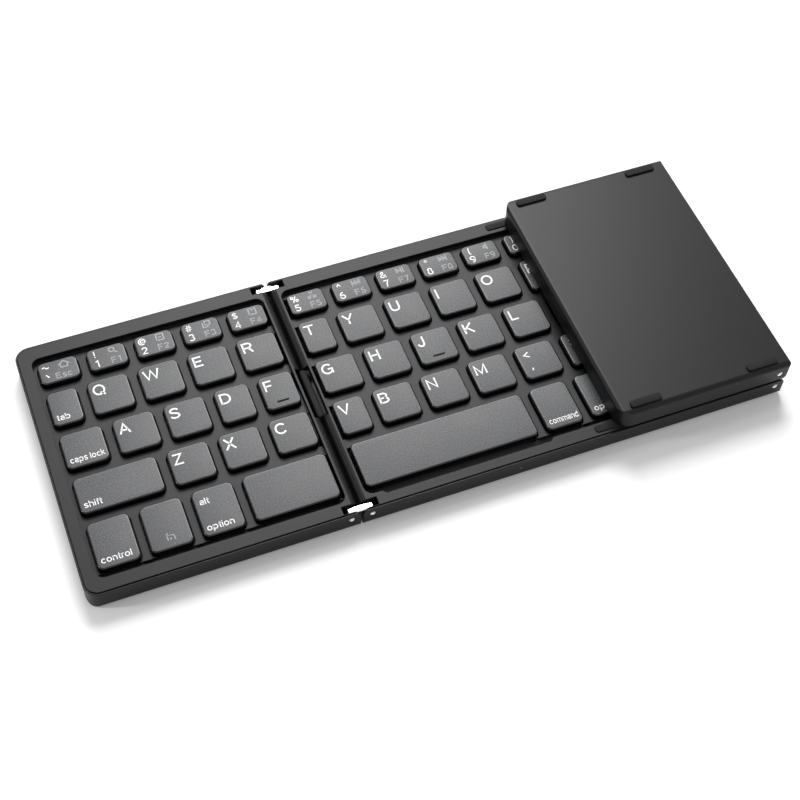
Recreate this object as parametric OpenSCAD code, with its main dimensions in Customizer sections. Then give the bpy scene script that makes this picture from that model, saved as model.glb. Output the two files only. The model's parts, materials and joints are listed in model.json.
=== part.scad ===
// Folding keyboard in three panels, shown with its left panel open and its right panel folded
// back over the middle one. X runs along the keyboard, the typist sits at -Y, +Z is up, and
// the origin is on the table under the middle of the outline.

/* [Panels] */
// Depth of every panel, front to back
panel_depth = 98; // [88:1:110]
// Thickness of a panel, from its underside to its top frame
panel_t = 8.2; // [8.2:0.1:11]
// Length of the left panel
left_len = 88.3; // [79.3:1:88.3]
// Length of the middle panel
mid_len = 151.6; // [151.6:1:190]
// Length of the right panel
right_len = 62.8; // [50:1:62.8]
// Outer corner radius, seen from above
corner_r = 5; // [3:0.5:7]
// Corner radius at the hinge ends, seen from above
hinge_corner_r = 0.8; // [0.5:0.1:1.5]
// Rounding of the outer underside edges
bottom_r = 1.6; // [0.8:0.1:2]
// Rounding of the underside edge at a hinge end
hinge_bottom_r = 0.5; // [0.3:0.1:1]
// Wall of a tray
wall = 1.2; // [1:0.1:1.6]
// Floor of a tray
floor_t = 1.2; // [1:0.1:1.4]
// Thin lip of a tray round the top frame
lip = 0.6; // [0.5:0.1:0.9]
// Drop of that lip below the frame
lip_drop = 0.4; // [0.2:0.1:0.8]
// Groove between the lip and the frame
groove = 0.15; // [0.1:0.05:0.3]

/* [Hinges] */
// Gap between the end faces of two open panels
open_gap = 0.4; // [0.3:0.1:1]
// Gap between the frames of two folded panels
closed_gap = 0.5; // [0.5:0.1:1]
// Clearance of a panel's rounded hinge end while it folds
fold_clear = 0.1; // [0.05:0.05:0.15]
// Depth of a hinge pin below the frame
pin_depth = 3.25; // [3:0.05:3.6]
// Radius of a hinge pin
pin_r = 0.7; // [0.5:0.05:0.9]
// Radius of a pin's head
pin_head_r = 1.1; // [1:0.05:1.3]
// Thickness of a pin's head
pin_head_t = 0.5; // [0.3:0.1:0.6]
// Depth of a pin's head below the wall
pin_sink = 0.1; // [0.05:0.05:0.2]
// Running clearance of a link on its pin
pin_clear = 0.05; // [0.02:0.01:0.1]
// Seating clearance of a pin in the tray
seat_clear = 0.02; // [0.01:0.01:0.05]
// Width of a link, along its pins
link_w = 2.2; // [1.6:0.1:2.4]
// Depth of a link's top below the frame
link_top = 1.15; // [0.9:0.05:1.4]
// Radius of a link round its pin
link_lobe = 1.6; // [1.3:0.1:1.8]
// Reach of a link's top past its pins
link_reach = 0.75; // [0.5:0.05:1]
// Corner rounding of a link's top
link_r = 0.45; // [0.2:0.05:0.6]
// Wall outside a link's slot
cheek = 0.9; // [0.9:0.1:1.2]
// Clearance between a link and the outer wall of its slot
slot_out = 0.2; // [0.1:0.05:0.3]
// Clearance between a link and the inner wall of its slot
slot_in = 0.6; // [0.3:0.1:0.8]
// Clearance round the sweep of a link
sweep_clear = 0.2; // [0.15:0.05:0.3]
// Inner cheek of a hinge block
inner_cheek = 0.8; // [0.6:0.1:0.9]
// Length of the cable bridge
bridge_l = 20; // [12:1:30]
// Width of the cable bridge
bridge_w = 2; // [1.4:0.1:2]
// Height of the cable bridge
bridge_h = 1.35; // [0.8:0.05:1.4]
// Depth of the cable bridge below the pins
bridge_drop = 1.25; // [1.2:0.05:1.4]
// Clearance round the cable bridge in its windows
bridge_clear = 0.4; // [0.3:0.05:0.5]

/* [Keys] */
// Width of a letter key, as are all widths here before a row is spread over its field
key_w = 13.7; // [12:0.1:15]
// Width of the two narrow letter keys beside the left hinge
narrow_key_w = 11.75; // [10:0.25:14]
// Width of a number key
num_key_w = 13.1; // [12:0.1:15]
// Width of the first key right of the left hinge in the two stepped rows
step_key_w = 10.5; // [9:0.5:13]
// Width of the modifier keys
mod_key_w = 13.6; // [12:0.1:15]
// Width of the long space key
space_w = 60.1; // [50:1:70]
// Width of the escape key
esc_w = 13.3; // [11:0.1:15]
// Width of the tab key
tab_w = 10.1; // [9:0.1:13]
// Width of the caps lock key
caps_w = 14; // [12:0.5:17]
// Width of the left shift key
left_shift_w = 27.2; // [22:0.1:32]
// Width of the left panel's space key
left_space_w = 28.1; // [22:0.1:32]
// Width of the delete key and of the right shift key
end_key_w = 12.8; // [11:0.1:15]
// Width of the backslash key
slash_w = 9.6; // [9:0.1:12]
// Width of the enter key
enter_w = 23.5; // [20:0.5:28]
// Width of the last arrow key
last_arrow_w = 14.7; // [12:0.1:17]
// Gap between the letter keys
key_gap = 3.4; // [3:0.1:3.8]
// Gap between the keys of the first and last row
end_row_gap = 3.2; // [3:0.1:3.8]
// Gap between the rows
row_gap = 3.65; // [3:0.05:4]
// Depth of the number keys, as are all depths here before the rows are spread over the field
num_row_d = 9; // [8:0.5:10.5]
// Depth of the letter keys
row_d = 13.7; // [12:0.1:15.5]
// Depth of the keys of the last row
last_row_d = 17.2; // [14:0.1:19.5]
// Back margin of the key field
back_margin = 8.2; // [7.8:0.1:9]
// Front margin of the key field
front_margin = 7.9; // [7.6:0.1:9]
// Margin of the keys at the outer end
outer_margin = 6; // [5.6:0.1:8]
// Margin of the left panel's keys at its hinge end
hinge_margin = 3.8; // [3.6:0.1:5]
// Margin of the middle panel's keys at its hinge ends
mid_margin = 4.2; // [3.6:0.1:5]
// Corner radius of a key
key_r = 2; // [1:0.1:2.5]
// Height of a key cap
cap_h = 3; // [2.6:0.1:3.1]
// Skirt of a key cap
cap_wall = 1; // [0.8:0.1:1.4]
// Top of a key cap
cap_top = 1.1; // [0.8:0.1:1.2]
// Travel of a key
travel = 1.2; // [0.8:0.1:1.2]
// Clearance of a key in its window
key_clear = 0.35; // [0.2:0.05:0.5]

/* [Top frame] */
// Depth of the well that the keys stand in
web_drop = 2.1; // [1.6:0.1:2.2]
// Thickness of the grid between the keys
web_t = 1; // [0.8:0.1:1]
// Bezel width at the front
bezel_front = 5.2; // [5.2:0.1:6]
// Bezel width at the back
bezel_back = 5.8; // [5.4:0.1:6.5]
// Bezel width at an outer end
bezel_end = 4.6; // [4:0.1:5]
// Bezel width at a hinge end
bezel_hinge = 3; // [2.9:0.05:3.2]
// Corner radius of the well
well_r = 3; // [2:0.5:3]
// Front bezel width at the thumb scoop
scoop_front = 2.2; // [1.8:0.1:3]
// Distance of the scoop's start from the space key's left edge
scoop_in = 4.1; // [3.5:0.1:10]
// Reach of the scoop past the space key's right edge
scoop_past = 3.5; // [1:0.1:5]
// Length of each of the scoop's slanted ends
scoop_slope = 3; // [2:0.5:5]

/* [Feet, pads and inner parts] */
// Height of a foot
foot_h = 0.8; // [0.5:0.1:1.5]
// Length of a foot or bumper pad
foot_l = 11.2; // [8:0.2:12]
// Width of a foot or bumper pad
foot_w = 2.7; // [2.2:0.1:2.9]
// Distance of a foot from a panel's end
foot_end = 4.3; // [4:0.1:6]
// Distance of a foot or pad from the front or back edge
foot_edge = 1.65; // [1.6:0.05:1.9]
// Reach of a bumper pad past the end of the folded right panel
pad_reach = 6.8; // [6:0.1:8]
// Corner radius of a foot or bumper pad
foot_r = 0.9; // [0.6:0.1:1.1]
// Height of a bumper pad above the frame
pad_h = 0.4; // [0.2:0.05:0.4]
// Depth of a bumper pad in the frame
pad_sink = 0.3; // [0.2:0.1:0.5]
// Radius of a screw's shank
screw_r = 0.6; // [0.4:0.05:0.7]
// Radius of a screw's head
screw_head_r = 1.1; // [0.9:0.05:1.2]
// Thickness of a screw's head
screw_head_t = 0.6; // [0.4:0.1:0.8]
// Depth of a screw in the top frame
screw_bite = 1.4; // [1:0.1:1.8]
// Wall of a screw post
post_wall = 0.8; // [0.6:0.1:0.9]
// Thickness of the key plate
plate_t = 0.4; // [0.3:0.05:0.5]
// Thickness of a circuit board
board_t = 0.6; // [0.4:0.1:0.6]
// Clearance between a pressed key and the key plate
plate_clear = 0.2; // [0.15:0.05:0.3]
// Radius of a rubber dome at its foot
dome_r = 2.4; // [1.8:0.1:2.6]
// Radius of a rubber dome at its top
dome_top_r = 1.8; // [1:0.1:1.8]
// Length of the battery
battery_l = 70; // [50:1:90]
// Width of the battery
battery_w = 46; // [30:1:60]
// Thickness of the battery
battery_t = 1.4; // [1:0.1:1.5]
// Width of the touchpad's margin in the right panel
pad_margin = 6.5; // [6:0.5:9]
// Thickness of the touchpad
touch_t = 1.2; // [1:0.1:1.4]
// Depth of the touchpad below the frame
touch_drop = 0.15; // [0.1:0.05:0.3]
// Clearance round the touchpad
touch_clear = 0.15; // [0.1:0.05:0.3]
// Gap between an end wall and the boards
board_gap = 3.2; // [3:0.1:3.4]
// Clearance between the boards and the hinge blocks
board_clear = 0.5; // [0.3:0.1:1]
// Width of a rail that carries a board
rail_w = 1.2; // [1:0.1:1.6]
// Ledge under the touchpad
touch_ledge = 2; // [1.5:0.5:3]
// Width of the charging socket
port_w = 8.9; // [8.4:0.1:9.2]
// Height of the charging socket
port_h = 3.2; // [2.8:0.1:3.2]
// Depth of the charging socket
port_d = 4.8; // [4:0.1:4.9]
// Wall of the charging socket
port_wall = 0.3; // [0.2:0.05:0.4]
// Drop of the charging socket below the top frame
port_drop = 0.3; // [0.2:0.05:0.4]
// Distance of the charging socket from the left end of the middle panel
port_x = 20; // [14:1:40]
// Distance of the status light from the left end of the middle panel
light_x = 54.5; // [40:0.5:70]
// Radius of the status light
light_r = 0.5; // [0.3:0.05:0.6]
// Drop of the status light below the top frame
light_drop = 0.2; // [0.1:0.05:0.6]
// Length of the status light's guide
light_l = 2.6; // [2:0.1:3]

/* [Hidden] */
$fn = 48;
OVER = 1;
LAP = 0.01;
SKIN = 0.1;
total = left_len + open_gap + mid_len;
z_frame = foot_h + panel_t;
link_d = 2 * pin_depth + closed_gap;
pin_in = (link_d - open_gap) / 2;
end_r = link_d / 2 - fold_clear;
edge_in = pin_in - sqrt(pow(end_r, 2) - pow(pin_depth, 2));
half = panel_depth / 2;
frame_h = web_drop + web_t;
slot_y0 = cheek;
slot_y1 = cheek + slot_out + link_w + slot_in;
block_w = slot_y1 + inner_cheek;
link_corner = norm([link_reach, pin_depth - link_top]);
slot_len = pin_in + link_corner + sweep_clear;
slot_z = pin_depth + link_lobe + sweep_clear;
block_l = slot_len + inner_cheek;
block_top = link_top + SKIN / 2;
bridge_top = pin_depth + bridge_drop;
window_in = edge_in - SKIN;
window_z = bridge_top + bridge_h + bridge_clear;
window_l = bridge_l + 2 * bridge_clear;
foot_x = foot_end + foot_l / 2;
foot_y = foot_edge + foot_w / 2;
post_r = screw_r + seat_clear + post_wall;
plate_top = cap_h + travel + plate_clear;
board_top = plate_top + plate_t;
rail_top = board_top + board_t;
inner_half = half - block_w - board_clear;
stack_end = wall + board_gap;
dome_h = plate_top - cap_top - travel - SKIN;
pad_x = mid_len - right_len - pad_reach;

LEFT_NAMES = [
    ["key_esc", "key_1", "key_2", "key_3", "key_4"],
    ["key_tab", "key_q", "key_w", "key_e", "key_r"],
    ["key_caps_lock", "key_a", "key_s", "key_d", "key_f"],
    ["key_left_shift", "key_z", "key_x", "key_c"],
    ["key_control", "key_fn", "key_alt", "key_left_space"]];
LEFT_WIDTHS = [
    [esc_w, num_key_w, num_key_w, num_key_w, num_key_w],
    [tab_w, key_w, key_w, key_w, key_w],
    [caps_w, key_w, key_w, narrow_key_w, narrow_key_w],
    [left_shift_w, key_w, key_w, key_w],
    [mod_key_w, mod_key_w, mod_key_w, left_space_w]];
NUM = "middle_number_keys";
UPPER = "middle_upper_keys";
HOME = "middle_home_keys";
LOWER = "middle_lower_keys";
MODS = "middle_modifier_keys";
ARROWS = "arrow_keys";
MID_NAMES = [
    [NUM, NUM, NUM, NUM, NUM, NUM, NUM, NUM, NUM],
    [UPPER, UPPER, UPPER, UPPER, UPPER, UPPER, UPPER, UPPER, UPPER],
    [HOME, HOME, HOME, HOME, HOME, HOME, HOME, "enter_key"],
    [LOWER, LOWER, LOWER, LOWER, LOWER, LOWER, LOWER, ARROWS, LOWER],
    ["middle_space_key", MODS, MODS, ARROWS, ARROWS, ARROWS]];
MID_WIDTHS = [
    [num_key_w, num_key_w, num_key_w, num_key_w, num_key_w, num_key_w, num_key_w, num_key_w,
     end_key_w],
    [step_key_w, key_w, key_w, key_w, key_w, key_w, key_w, key_w, slash_w],
    [key_w, key_w, key_w, key_w, key_w, key_w, key_w, enter_w],
    [step_key_w, key_w, key_w, key_w, key_w, key_w, key_w, step_key_w, end_key_w],
    [space_w, num_key_w, num_key_w, num_key_w, num_key_w, last_arrow_w]];
left_field = [outer_margin, left_len - hinge_margin];
mid_field = [mid_margin, mid_len - mid_margin];

function total_of(v, n) = n <= 0 ? 0 : v[n - 1] + total_of(v, n - 1);
// Sizes spread so that they and the gaps between them fill a span.
function spread(sizes, gap, span) = [for (s = sizes)
    s * (span - gap * (len(sizes) - 1)) / total_of(sizes, len(sizes))];
function starts(sizes, gap, x0) = [for (i = [0 : len(sizes) - 1]) x0 + total_of(sizes, i) + gap * i];
row_gaps = [end_row_gap, key_gap, key_gap, key_gap, end_row_gap];
row_depth = spread([num_row_d, row_d, row_d, row_d, last_row_d], row_gap,
                   panel_depth - back_margin - front_margin);
row_back = starts(row_depth, row_gap, 0);
row_y = [for (r = [0 : len(row_depth) - 1]) half - back_margin - row_back[r] - row_depth[r]];
// Every key of a panel as [node, x, y, width, depth], with y at its front edge.
function keys(names, widths, field) = [for (r = [0 : len(names) - 1])
    let (ws = spread(widths[r], row_gaps[r], field[1] - field[0]),
         xs = starts(ws, row_gaps[r], field[0]))
    for (i = [0 : len(ws) - 1]) [names[r][i], xs[i], row_y[r], ws[i], row_depth[r]]];
LEFT_KEYS = keys(LEFT_NAMES, LEFT_WIDTHS, left_field);
MID_KEYS = keys(MID_NAMES, MID_WIDTHS, mid_field);
space_key = [for (k = MID_KEYS) if (k[0] == "middle_space_key") k][0];
scoop_x = [space_key[1] + scoop_in, space_key[1] + space_key[3] + scoop_past];

SHELL = "#3a3c3f";
FRAME = "#5c5e61";
KEY = "#7c7d7f";
RUBBER = "#232425";
STEEL = "#c9cbce";
BOARD = "#1f5a3c";

// ---- outlines ----

// What a rounding of radius r takes off a corner whose inside lies towards sx, sy.
module corner_cut(r, sx, sy) {
    difference() {
        translate([sx > 0 ? -OVER : -r, sy > 0 ? -OVER : -r]) square(r + OVER);
        translate([sx * r, sy * r]) circle(r);
    }
}

// Rectangle from [x0, y0] to [x1, y1], with its own corner radius at each end.
module rounded(x0, y0, x1, y1, r0, r1) {
    difference() {
        translate([x0, y0]) square([x1 - x0, y1 - y0]);
        for (y = [[y0, 1], [y1, -1]]) {
            translate([x0, y[0]]) corner_cut(r0, 1, y[1]);
            translate([x1, y[0]]) corner_cut(r1, -1, y[1]);
        }
    }
}

// A panel seen from above: ends is [hinge at x = 0, hinge at x = length].
module plan(length, ends, side, hinge_side) {
    radii = [for (e = ends) max((e ? hinge_corner_r : corner_r) - side, 0.3)];
    rounded(ends[0] ? hinge_side : side, side - half,
            length - (ends[1] ? hinge_side : side), half - side, radii[0], radii[1]);
}

// What is cut from the end of a panel seen from the front: its underside is rounded and, at a
// hinge, its top edge is round about the pin, so that it clears its neighbour while it folds.
module end_cut(hinge, sx) {
    translate([0, -panel_t]) corner_cut(hinge ? hinge_bottom_r : bottom_r, sx, 1);
    if (hinge) difference() {
        translate([sx > 0 ? -OVER : -pin_in, -pin_depth]) square([pin_in + OVER, pin_depth + OVER]);
        translate([sx * pin_in, -pin_depth]) circle(end_r);
    }
}

module front_view(length, ends) {
    difference() {
        translate([0, -panel_t]) square([length, panel_t]);
        end_cut(ends[0], 1);
        translate([length, 0]) end_cut(ends[1], -1);
    }
}

module side_view() {
    difference() {
        translate([-half, -panel_t]) square([panel_depth, panel_t]);
        translate([-half, -panel_t]) corner_cut(bottom_r, 1, 1);
        translate([half, -panel_t]) corner_cut(bottom_r, -1, 1);
    }
}

// Everything below stands in a panel's own space: x from its left end, z = 0 on its frame.
module envelope(length, ends) {
    intersection() {
        rotate([90, 0, 0]) linear_extrude(panel_depth + OVER, center = true)
            front_view(length, ends);
        translate([0, 0, -panel_t - OVER]) linear_extrude(panel_t + 2 * OVER)
            plan(length, ends, 0, 0);
        rotate([90, 0, 90]) linear_extrude(length) side_view();
    }
}

module slab(z0, z1) {
    translate([0, 0, z0]) linear_extrude(z1 - z0) children();
}

// Its children once at each hinge end, front and back, with x into the panel from the end
// and y into it from the front or back face.
module at_hinges(length, ends) {
    for (e = [0, 1]) if (ends[e])
        translate([e * length, 0, 0]) mirror([e, 0, 0])
            for (s = [0, 1]) mirror([0, s, 0]) translate([0, -half, 0]) children();
}

module along_y(r, y0, y1) {
    translate([pin_in, y1, -pin_depth]) rotate([90, 0, 0]) cylinder(r = r, h = y1 - y0);
}

// ---- hinge details, cut or filled at each hinge end ----

module hinge_block() {
    translate([0, 0, -panel_t]) cube([block_l, block_w, panel_t - block_top]);
}

module link_slot() {
    translate([-OVER, slot_y0, -slot_z]) cube([slot_len + OVER, slot_y1 - slot_y0, slot_z + OVER]);
}

module pin_bore() {
    along_y(pin_r + seat_clear, -OVER, block_w + OVER);
    along_y(pin_head_r + seat_clear, -OVER, pin_sink + pin_head_t);
}

module hinge_pin() {
    along_y(pin_r, pin_sink, block_w);
    along_y(pin_head_r, pin_sink, pin_sink + pin_head_t);
}

module cable_window(length, ends) {
    for (e = [0, 1]) if (ends[e])
        translate([e * length, 0, 0]) mirror([e, 0, 0])
            translate([-OVER, -window_l / 2, -window_z])
                cube([window_in + OVER, window_l, window_z + OVER]);
}

// ---- feet, screws and posts ----

module at_feet(length) {
    for (x = [foot_x, length - foot_x], y = [foot_y - half, half - foot_y])
        translate([x, y, -panel_t]) children();
}

module bar(l, w, r, h) {
    linear_extrude(h) rounded(-l / 2, -w / 2, l / 2, w / 2, r, r);
}

module screw() {
    cylinder(r = screw_head_r, h = screw_head_t);
    cylinder(r = screw_r, h = panel_t - frame_h + screw_bite);
}

module screw_hole() {
    translate([0, 0, -OVER]) cylinder(r = screw_head_r + seat_clear, h = screw_head_t + OVER);
    cylinder(r = screw_r + seat_clear, h = panel_t - frame_h + screw_bite + seat_clear);
}

// ---- the parts of a panel ----

module shell(length, ends, has_rails = true) {
    difference() {
        union() {
            difference() {
                envelope(length, ends);
                slab(-panel_t + floor_t, OVER) plan(length, ends, wall, wall);
                slab(-frame_h, OVER) plan(length, ends, lip, wall);
                if (lip_drop > 0) slab(-lip_drop, OVER)
                    translate([-OVER, -half - OVER]) square([length + 2 * OVER, panel_depth + 2 * OVER]);
            }
            intersection() {
                envelope(length, ends);
                union() {
                    at_hinges(length, ends) hinge_block();
                    at_feet(length) cylinder(r = post_r, h = panel_t - frame_h);
                }
            }
            if (has_rails) rails(length);
        }
        at_hinges(length, ends) {
            link_slot();
            pin_bore();
        }
        cable_window(length, ends);
        at_feet(length) screw_hole();
    }
}

// Two rails on the floor that carry the circuit board.
module rails(length) {
    for (y = [-inner_half, inner_half - rail_w])
        translate([stack_end, y, -panel_t + floor_t - LAP])
            cube([length - 2 * stack_end, rail_w, panel_t - floor_t - rail_top + LAP]);
}

module frame_blank(length, ends) {
    difference() {
        intersection() {
            envelope(length, ends);
            slab(-frame_h, OVER) plan(length, ends, lip + groove, wall + groove);
        }
        at_hinges(length, ends) {
            link_slot();
            translate([-OVER, -OVER, -panel_t])
                cube([block_l + SKIN + OVER, block_w + SKIN + OVER, panel_t - block_top + SKIN]);
        }
        cable_window(length, ends);
        at_feet(length) screw_hole();
    }
}

module well_plan(length, ends) {
    rounded(ends[0] ? bezel_hinge : bezel_end, bezel_front - half,
            length - (ends[1] ? bezel_hinge : bezel_end), half - bezel_back, well_r, well_r);
}

// The well, which is open down to the key plate in front of the keys and beside them at a hinge.
module well(length, ends, field) {
    slab(-web_drop, OVER) well_plan(length, ends);
    slab(-frame_h - OVER, OVER) intersection() {
        well_plan(length, ends);
        union() {
            translate([0, -half]) square([length, front_margin - key_clear]);
            for (r = [0 : len(row_y) - 1]) {
                if (ends[0]) translate([0, row_y[r]]) square([field[0] + key_r, row_depth[r]]);
                if (ends[1]) translate([field[1] - key_r, row_y[r]])
                    square([length - field[1] + key_r, row_depth[r]]);
            }
        }
    }
}

module key_window(k) {
    slab(-frame_h - OVER, OVER) translate([k[1], k[2]])
        rounded(-key_clear, -key_clear, k[3] + key_clear, k[4] + key_clear,
                key_r + key_clear, key_r + key_clear);
}

module key_cap(k) {
    color(KEY) difference() {
        slab(-cap_h, 0) translate([k[1], k[2]]) rounded(0, 0, k[3], k[4], key_r, key_r);
        slab(-cap_h - OVER, -cap_top) translate([k[1], k[2]])
            rounded(cap_wall, cap_wall, k[3] - cap_wall, k[4] - cap_wall,
                    max(key_r - cap_wall, 0.3), max(key_r - cap_wall, 0.3));
    }
}

// Key plate with one rubber dome under each key.
module key_plate(length, keys) {
    color("#8a8d90") {
        slab(-board_top, -plate_top) translate([stack_end, -inner_half])
            square([length - 2 * stack_end, 2 * inner_half]);
        for (k = keys) translate([k[1] + k[3] / 2, k[2] + k[4] / 2, -plate_top])
            cylinder(r1 = dome_r, r2 = dome_top_r, h = dome_h);
    }
}

module board(length) {
    color(BOARD) slab(-rail_top, -board_top) translate([stack_end, -inner_half])
        square([length - 2 * stack_end, 2 * inner_half]);
}

module feet(length) {
    color(RUBBER) at_feet(length) translate([0, 0, -foot_h]) bar(foot_l, foot_w, foot_r, foot_h);
}

module screws(length) {
    color(STEEL) at_feet(length) screw();
}

module hinge_pins(length, ends) {
    color(STEEL) at_hinges(length, ends) hinge_pin();
}

// ---- the hinges, with the origin on the middle of the line between two pins ----

module link_profile() {
    up = pin_depth - link_top;
    reach = link_d / 2 + link_reach;
    difference() {
        union() {
            translate([-link_d / 2, -link_lobe]) square([link_d, link_lobe + up / 2]);
            for (s = [-1, 1]) translate([s * link_d / 2, 0]) circle(link_lobe);
            difference() {
                translate([-reach, 0]) square([2 * reach, up]);
                translate([-reach, up]) corner_cut(link_r, 1, -1);
                translate([reach, up]) corner_cut(link_r, -1, -1);
            }
        }
        for (s = [-1, 1]) translate([s * link_d / 2, 0]) circle(pin_r + pin_clear);
    }
}

module links() {
    color(STEEL) for (s = [0, 1]) mirror([0, s, 0])
        translate([0, half - cheek - slot_out, 0]) rotate([90, 0, 0])
            linear_extrude(link_w) link_profile();
}

module cable_bridge() {
    low = pin_depth - bridge_top - bridge_h;
    color(RUBBER) rotate([90, 0, 0]) linear_extrude(bridge_l, center = true)
        difference() {
            translate([-bridge_w / 2, low]) square([bridge_w, bridge_h]);
            for (s = [-1, 1]) translate([s * bridge_w / 2, low]) corner_cut(bridge_h / 3, -s, 1);
        }
}

// ---- places ----

module left_place() { translate([-total / 2, 0, z_frame]) children(); }
module middle_place() { translate([total / 2 - mid_len, 0, z_frame]) children(); }
module right_place() { translate([total / 2, 0, z_frame + closed_gap]) rotate([0, 180, 0]) children(); }
module left_hinge_place() {
    translate([total / 2 - mid_len - open_gap / 2, 0, z_frame - pin_depth]) children();
}
module right_hinge_place() {
    translate([total / 2 - pin_in, 0, z_frame + closed_gap / 2]) rotate([0, -90, 0]) children();
}

LEFT_ENDS = [false, true];
MID_ENDS = [true, true];
RIGHT_ENDS = [true, false];

// ---- left panel ----

module left_shell() { color(SHELL) left_place() shell(left_len, LEFT_ENDS); }
module left_frame() {
    color(FRAME) left_place() difference() {
        frame_blank(left_len, LEFT_ENDS);
        well(left_len, LEFT_ENDS, left_field);
        for (k = LEFT_KEYS) key_window(k);
    }
}
module left_key_plate() { left_place() key_plate(left_len, LEFT_KEYS); }
module left_board() { left_place() board(left_len); }
module left_feet() { left_place() feet(left_len); }
module left_screws() { left_place() screws(left_len); }
module left_hinge_pins() { left_place() hinge_pins(left_len, LEFT_ENDS); }
module left_links() { left_hinge_place() links(); }
module left_cable_bridge() { left_hinge_place() cable_bridge(); }

// ---- middle panel ----

module middle_shell() {
    color(SHELL) middle_place() difference() {
        shell(mid_len, MID_ENDS);
        port_body(seat_clear, OVER);
        light_guide(seat_clear, OVER);
    }
}

module middle_frame() {
    color(FRAME) middle_place() difference() {
        frame_blank(mid_len, MID_ENDS);
        well(mid_len, MID_ENDS, mid_field);
        slab(-web_drop, OVER) scoop();
        for (k = MID_KEYS) key_window(k);
        at_pads() translate([0, 0, -pad_sink]) bar(foot_l, foot_w, foot_r, pad_sink + OVER);
    }
}

// Plan of the thumb scoop, where the well reaches forward in front of the space key.
module scoop() {
    polygon([[scoop_x[0], bezel_front - half + OVER], [scoop_x[0], bezel_front - half],
             [scoop_x[0] + scoop_slope, scoop_front - half],
             [scoop_x[1] - scoop_slope, scoop_front - half],
             [scoop_x[1], bezel_front - half], [scoop_x[1], bezel_front - half + OVER]]);
}

module at_pads() {
    for (y = [foot_y - half, half - foot_y]) translate([pad_x + foot_l / 2, y, 0]) children();
}

module bumper_pads() {
    color(RUBBER) middle_place() at_pads()
        translate([0, 0, -pad_sink]) bar(foot_l, foot_w, foot_r, pad_sink + pad_h);
}

// Outside of the charging socket in the back wall, grown by a clearance.
module port_body(clear, past) {
    r = port_h / 2 + clear;
    translate([port_x, half - port_d - clear, port_z()]) rotate([-90, 0, 0])
        linear_extrude(port_d + clear + past)
            for (s = [-1, 1]) {
                translate([s * (port_w / 2 - port_h / 2), 0]) circle(r);
                translate([-port_w / 2 + port_h / 2, -r]) square([port_w - port_h, 2 * r]);
            }
}
function port_z() = -frame_h - port_h / 2 - port_drop;

module charging_socket() {
    color(STEEL) middle_place() difference() {
        port_body(0, 0);
        translate([0, -port_wall, 0]) port_body(-port_wall, port_wall + OVER);
    }
}

// Light guide through the front wall, grown by a clearance.
module light_guide(clear, past) {
    translate([light_x, -half + light_l, -frame_h - light_r - light_drop]) rotate([90, 0, 0])
        cylinder(r = light_r + clear, h = light_l + past);
}

module status_light() { color("#e8f2ff") middle_place() light_guide(0, 0); }

module battery() {
    color("#9aa3ad") middle_place()
        translate([(mid_len - battery_l) / 2, -battery_w / 2, -panel_t + floor_t])
            cube([battery_l, battery_w, battery_t]);
}

module middle_key_plate() { middle_place() key_plate(mid_len, MID_KEYS); }
module middle_board() { middle_place() board(mid_len); }
module middle_feet() { middle_place() feet(mid_len); }
module middle_screws() { middle_place() screws(mid_len); }
module middle_hinge_pins() { middle_place() hinge_pins(mid_len, MID_ENDS); }

// ---- right panel, folded over ----

module right_links() { right_hinge_place() links(); }
module right_cable_bridge() { right_hinge_place() cable_bridge(); }
module right_shell() { color(SHELL) right_place() shell(right_len, RIGHT_ENDS); }

module touch_plan(grow) {
    rounded(pad_margin - grow, pad_margin - half - grow, right_len - pad_margin + grow,
            half - pad_margin + grow, well_r + grow, well_r + grow);
}

module right_frame() {
    color(FRAME) right_place() difference() {
        frame_blank(right_len, RIGHT_ENDS);
        slab(-touch_drop - touch_t, OVER) touch_plan(touch_clear);
        slab(-frame_h - OVER, OVER) touch_plan(-touch_ledge);
    }
}

module touchpad() {
    color("#48494b") right_place() slab(-touch_drop - touch_t, -touch_drop) touch_plan(0);
}

module right_board() { right_place() board(right_len); }
module right_feet() { right_place() feet(right_len); }
module right_screws() { right_place() screws(right_len); }
module right_hinge_pins() { right_place() hinge_pins(right_len, RIGHT_ENDS); }

// ---- keys ----

module left_key(name) {
    left_place() for (k = LEFT_KEYS) if (k[0] == name) key_cap(k);
}

module middle_key(name) {
    middle_place() for (k = MID_KEYS) if (k[0] == name) key_cap(k);
}

left_shell();
left_frame();
left_key_plate();
left_board();
left_feet();
left_screws();
left_hinge_pins();
left_links();
left_cable_bridge();
middle_shell();
middle_frame();
middle_key_plate();
middle_board();
battery();
bumper_pads();
middle_feet();
middle_screws();
middle_hinge_pins();
charging_socket();
status_light();
right_links();
right_cable_bridge();
right_shell();
right_frame();
touchpad();
right_board();
right_feet();
right_screws();
right_hinge_pins();
for (row = LEFT_NAMES, name = row) left_key(name);
for (name = [NUM, UPPER, HOME, LOWER, MODS, ARROWS, "enter_key", "middle_space_key"])
    middle_key(name);
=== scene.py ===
"""Folding keyboard: the looks of its three panels, keys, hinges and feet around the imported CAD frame."""

import json
import math

import bmesh
import bpy
from mathutils import Matrix, Vector

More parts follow.
